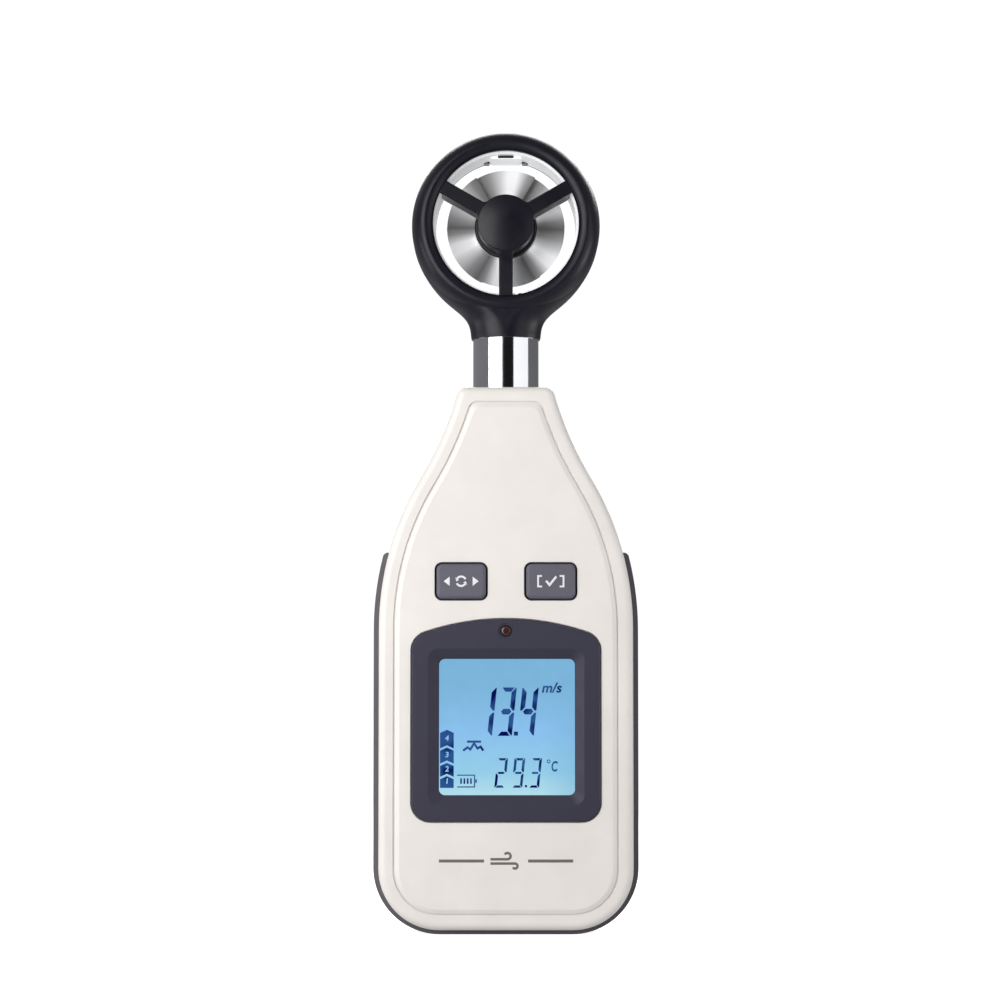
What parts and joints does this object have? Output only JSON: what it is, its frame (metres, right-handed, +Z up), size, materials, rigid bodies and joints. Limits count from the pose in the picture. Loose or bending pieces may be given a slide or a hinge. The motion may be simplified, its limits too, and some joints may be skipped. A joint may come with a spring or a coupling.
{
  "type": "handheld weather meter",
  "caption": "Pocket vane anemometer that shows wind speed and air temperature: lit display, two keys, and a round head with a spinning vane wheel on a short chrome neck.",
  "frame": {"origin": "middle of the foot that the meter stands on, centred in width and depth", "axes": "+Z up along the meter towards the head, -Y out of the display, +X to the right seen from the front"},
  "size_m": [0.0536, 0.022, 0.1632],
  "materials": {
    "case_cream": "satin cream ABS",
    "grip_dark": "matte dark grey overmould",
    "bezel_dark": "satin dark grey ABS",
    "window_clear": "clear acrylic",
    "lcd_blue": "display cell lit blue from behind",
    "diffuser": "light guide, lit",
    "strip_rubber": "striped silicone",
    "white_plastic": "moulded white",
    "lens_red": "dark red, unlit",
    "led_clear": "tinted epoxy",
    "key_grey": "satin grey silicone",
    "switch_black": "moulded",
    "board_green": "solder mask over glass epoxy",
    "chip_black": "moulded epoxy",
    "parts_metal": "plated",
    "tray_black": "moulded",
    "contact_metal": "nickel plated",
    "cell_can": "printed sleeve",
    "insert_brass": "machined",
    "screw_steel": "zinc plated",
    "head_black": "satin black ABS",
    "guard_black": "satin black ABS",
    "liner_pale": "moulded pale grey",
    "jewel": "synthetic ruby",
    "vane_silver": "turned and lacquered",
    "vane_black": "moulded",
    "bead_black": "epoxy bead",
    "lead_black": "PVC sheath",
    "tube_chrome": "polished",
    "lcd_ink": "dark display segments",
    "print_white": "pad print",
    "print_grey": "pad print"
  },
  "bodies": {
    "case": {"front_cover": "case_cream", "rear_cover": "case_cream", "rear_grip": "grip_dark", "display_bezel": "bezel_dark", "display_window": "window_clear", "lcd_glass": "lcd_blue", "lcd_backlight": "diffuser", "lcd_connector": "strip_rubber", "lcd_holder": "white_plastic", "indicator_lens": "lens_red", "indicator_led": "led_clear", "mode_switch": "switch_black", "set_switch": "switch_black", "main_board": "board_green", "sensor_board": "board_green", "processor": "chip_black", "board_parts": "parts_metal", "head_connector": "white_plastic", "battery_tray": "tray_black", "battery_springs": "contact_metal", "battery_plates": "contact_metal", "battery_cell_1": "cell_can", "battery_cell_2": "cell_can", "battery_cell_3": "cell_can", "tripod_insert": "insert_brass", "case_screws": "screw_steel", "head_ring": "head_black", "front_guard": "guard_black", "hub_cap": "guard_black", "rear_guard": "guard_black", "duct_liner": "liner_pale", "front_jewel": "jewel", "rear_jewel": "jewel", "thermistor": "bead_black", "speed_sensor": "chip_black", "head_lead": "lead_black", "neck_tube": "tube_chrome", "neck_collar": "tray_black"},
    "vane_wheel": {"vane_blades": "vane_silver", "vane_hub": "vane_black", "vane_shaft": "screw_steel"},
    "mode_key": {"mode_button": "key_grey", "mode_plunger": "switch_black"},
    "set_key": {"set_button": "key_grey", "set_plunger": "switch_black"},
    "door": {"battery_door": "case_cream"}
  },
  "joints": [
    {"name": "vane_spin", "type": "hinge", "parent": "case", "child": "vane_wheel", "pos_m": [0, 0.002, 0.14395], "axis": [0, 1, 0], "continuous": true},
    {"name": "mode_press", "type": "slide", "parent": "case", "child": "mode_key", "axis": [0, 1, 0], "range_m": [0, 0.0005], "stiffness_N_per_m": 2000},
    {"name": "set_press", "type": "slide", "parent": "case", "child": "set_key", "axis": [0, 1, 0], "range_m": [0, 0.0005], "stiffness_N_per_m": 2000},
    {"name": "door_open", "type": "hinge", "parent": "case", "child": "door", "pos_m": [0, 0.0097, 0.0139], "axis": [-1, 0, 0], "range_deg": [0, 90]}
  ]
}
